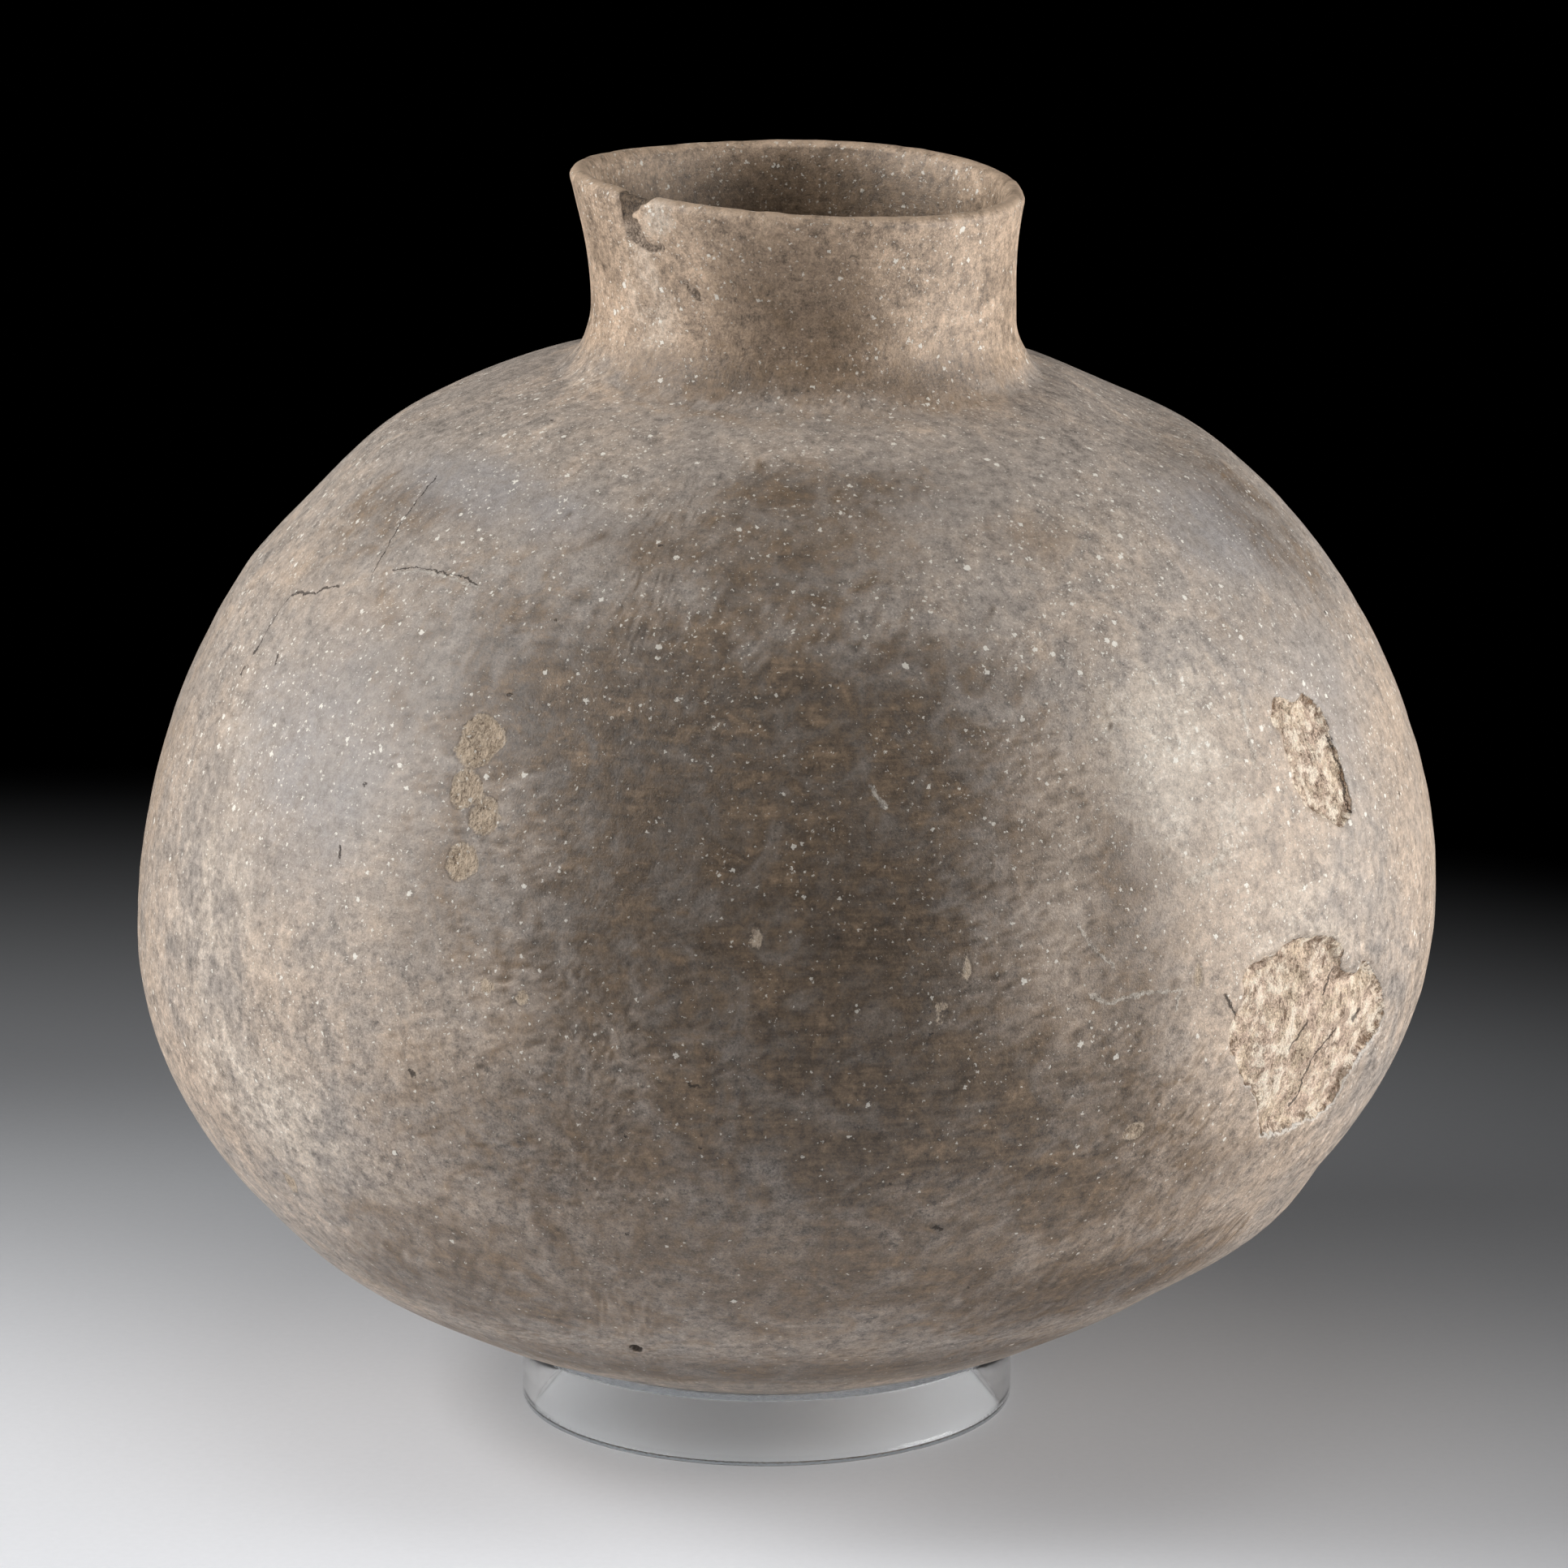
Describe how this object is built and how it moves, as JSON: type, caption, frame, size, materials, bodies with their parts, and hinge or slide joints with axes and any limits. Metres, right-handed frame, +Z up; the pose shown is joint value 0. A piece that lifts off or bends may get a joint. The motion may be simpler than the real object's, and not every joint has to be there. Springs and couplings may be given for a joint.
{
  "type": "pottery olla on a display ring",
  "caption": "Large globular low-fired clay jar with a short flared neck and spalled belly, resting in a clear display ring.",
  "frame": {"origin": "on the floor under the middle of the whole outline", "axes": "+Z up; -Y is the front seen in the picture; the jar leans slightly towards +X"},
  "size_m": [0.399, 0.399, 0.3875],
  "materials": {
    "fired_clay": "unglazed, burnished, fire-clouded grey-brown with pale temper specks",
    "clear_acrylic": "clear, polished, colourless"
  },
  "bodies": {
    "stand": {"display_ring": "clear_acrylic"},
    "jar": {"olla": "fired_clay"}
  },
  "joints": [
    {"name": "lift_out", "type": "slide", "parent": "stand", "child": "jar", "axis": [0, 0, 1], "range_m": [0, 0.06]}
  ]
}
